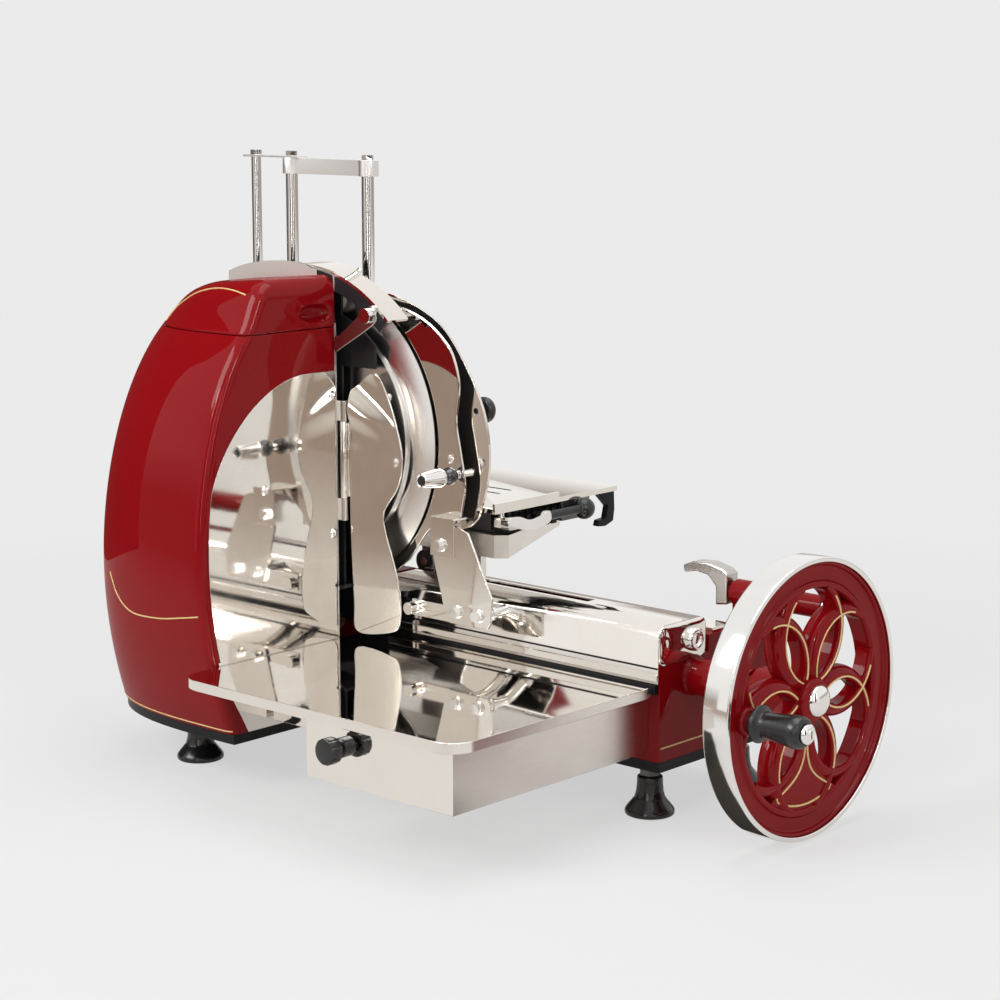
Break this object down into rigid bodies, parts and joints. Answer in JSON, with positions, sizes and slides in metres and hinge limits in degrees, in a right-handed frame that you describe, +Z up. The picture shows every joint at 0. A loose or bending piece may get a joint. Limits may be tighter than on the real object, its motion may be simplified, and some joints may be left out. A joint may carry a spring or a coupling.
{
  "type": "deli meat slicer",
  "caption": "Hand-cranked flywheel meat slicer with a round blade, egg-shaped casing, sliding meat table, receiving tray and spoked flywheel.",
  "frame": {"origin": "under the middle of the machine, on the table top it stands on", "axes": "+X towards the flywheel, +Y from the receiving tray to the meat table, +Z up"},
  "size_m": [0.808, 0.47, 0.603],
  "materials": {
    "red_paint": "gloss enamel",
    "black_paint": "semi-gloss enamel",
    "polished_steel": "mirror polished",
    "chrome": "bright plated",
    "iron": "machined and oiled",
    "bronze": "machined",
    "black_plastic": "moulded",
    "rubber": "moulded",
    "stone": "bonded grit"
  },
  "bodies": {
    "frame": {"foot_pads": "rubber", "foot_studs": "iron", "plinth": "black_paint", "base_casting": "red_paint", "casing_shell": "red_paint", "splash_plate": "polished_steel", "dome_screws": "chrome", "back_plate": "black_paint", "rim_guard": "polished_steel", "guard_arm": "polished_steel", "guard_spacers": "chrome", "blade_guard": "polished_steel", "round_guard": "polished_steel", "guard_bracket": "polished_steel", "bracket_bolts": "chrome", "bushes": "bronze", "main_column": "iron", "drive_chain": "iron", "deflector_hinge": "polished_steel", "deflector_latch": "polished_steel", "tray_skirt": "polished_steel", "rail_cover": "polished_steel", "guide_rod": "chrome", "rear_rail": "polished_steel", "control_arm": "red_paint", "shaft_housing": "red_paint", "sharpening_stones": "stone"},
    "lid": {"lid": "red_paint"},
    "flywheel": {"flywheel": "red_paint", "wheel_rim": "chrome", "hub_cap": "chrome", "crank_spindle": "chrome", "flywheel_shaft": "chrome"},
    "crank_grip": {"crank_grip": "black_plastic"},
    "cross_shaft": {"cross_shaft": "chrome", "cross_bevel": "bronze", "low_sprocket": "iron"},
    "blade": {"blade": "chrome", "blade_flange": "polished_steel", "blade_screws": "chrome", "blade_shaft": "chrome", "top_sprocket": "iron"},
    "deflector": {"deflector": "polished_steel"},
    "tray": {"tray": "polished_steel"},
    "tray_knob": {"tray_knob": "black_plastic"},
    "guard_pin": {"guard_pin": "chrome"},
    "guard_knob": {"guard_knob": "black_plastic"},
    "carriage": {"carriage_casting": "polished_steel"},
    "roller": {"rear_roller": "iron"},
    "table": {"meat_table": "polished_steel", "cross_slide": "iron", "rack_cover": "black_paint", "stop_bracket": "black_paint", "post_bar": "polished_steel", "posts": "chrome", "post_strap": "polished_steel"},
    "feed_lever": {"feed_lever": "chrome", "lever_ball": "black_plastic"},
    "clamp": {"meat_clamp": "polished_steel"},
    "hook_lever": {"hook_lever": "chrome"}
  },
  "joints": [
    {"name": "lid_lift", "type": "slide", "parent": "frame", "child": "lid", "axis": [0, 0, 1], "range_m": [0, 0.1]},
    {"name": "flywheel_spin", "type": "hinge", "parent": "frame", "child": "flywheel", "pos_m": [0.339, 0.1, 0.131], "axis": [1, 0, 0], "continuous": true},
    {"name": "crank_grip_spin", "type": "hinge", "parent": "flywheel", "child": "crank_grip", "pos_m": [0.372, 0.003, 0.131], "axis": [1, 0, 0], "continuous": true},
    {"name": "cross_shaft_spin", "type": "hinge", "parent": "frame", "child": "cross_shaft", "pos_m": [-0.223, 0.02, 0.131], "axis": [0, 1, 0], "continuous": true},
    {"name": "blade_spin", "type": "hinge", "parent": "frame", "child": "blade", "pos_m": [-0.203, 0.02, 0.327], "axis": [0, 1, 0], "continuous": true},
    {"name": "deflector_swing", "type": "hinge", "parent": "frame", "child": "deflector", "pos_m": [-0.153, -0.002, 0.3], "axis": [0, 0, 1], "range_deg": [-75, 0]},
    {"name": "tray_slide", "type": "slide", "parent": "frame", "child": "tray", "axis": [0, -1, 0], "range_m": [0, 0.12]},
    {"name": "tray_knob_turn", "type": "hinge", "parent": "frame", "child": "tray_knob", "pos_m": [0.058, -0.22, 0.1], "axis": [0, 1, 0], "range_deg": [-180, 180]},
    {"name": "guard_pin_pull", "type": "slide", "parent": "frame", "child": "guard_pin", "axis": [0, -1, 0], "range_m": [0, 0.012], "stiffness_N_per_m": 400},
    {"name": "guard_knob_turn", "type": "hinge", "parent": "frame", "child": "guard_knob", "pos_m": [-0.02, 0.05, 0.363], "axis": [0, 1, 0], "range_deg": [-180, 180]},
    {"name": "carriage_slide", "type": "slide", "parent": "frame", "child": "carriage", "axis": [1, 0, 0], "range_m": [-0.07, 0.135]},
    {"name": "roller_spin", "type": "hinge", "parent": "carriage", "child": "roller", "pos_m": [-0.178, 0.143, 0.18105], "axis": [0, 1, 0], "range_deg": [-340, 650]},
    {"name": "table_slide", "type": "slide", "parent": "carriage", "child": "table", "axis": [0, 1, 0], "range_m": [0, 0.08]},
    {"name": "feed_lever_swing", "type": "hinge", "parent": "table", "child": "feed_lever", "pos_m": [-0.007, 0.067, 0.26], "axis": [0, 0, 1], "range_deg": [-30, 0]},
    {"name": "clamp_slide", "type": "slide", "parent": "table", "child": "clamp", "axis": [0, 0, 1], "range_m": [0, 0.22]},
    {"name": "hook_lever_turn", "type": "hinge", "parent": "frame", "child": "hook_lever", "pos_m": [0.177, 0.2, 0.19], "axis": [1, 0, 0], "range_deg": [-35, 35]}
  ],
  "couplings": [
    {"joint": "cross_shaft_spin", "follows": "flywheel_spin", "ratio": 1},
    {"joint": "blade_spin", "follows": "flywheel_spin", "ratio": 2},
    {"joint": "roller_spin", "follows": "carriage_slide", "rad_per_m": 83.333}
  ]
}
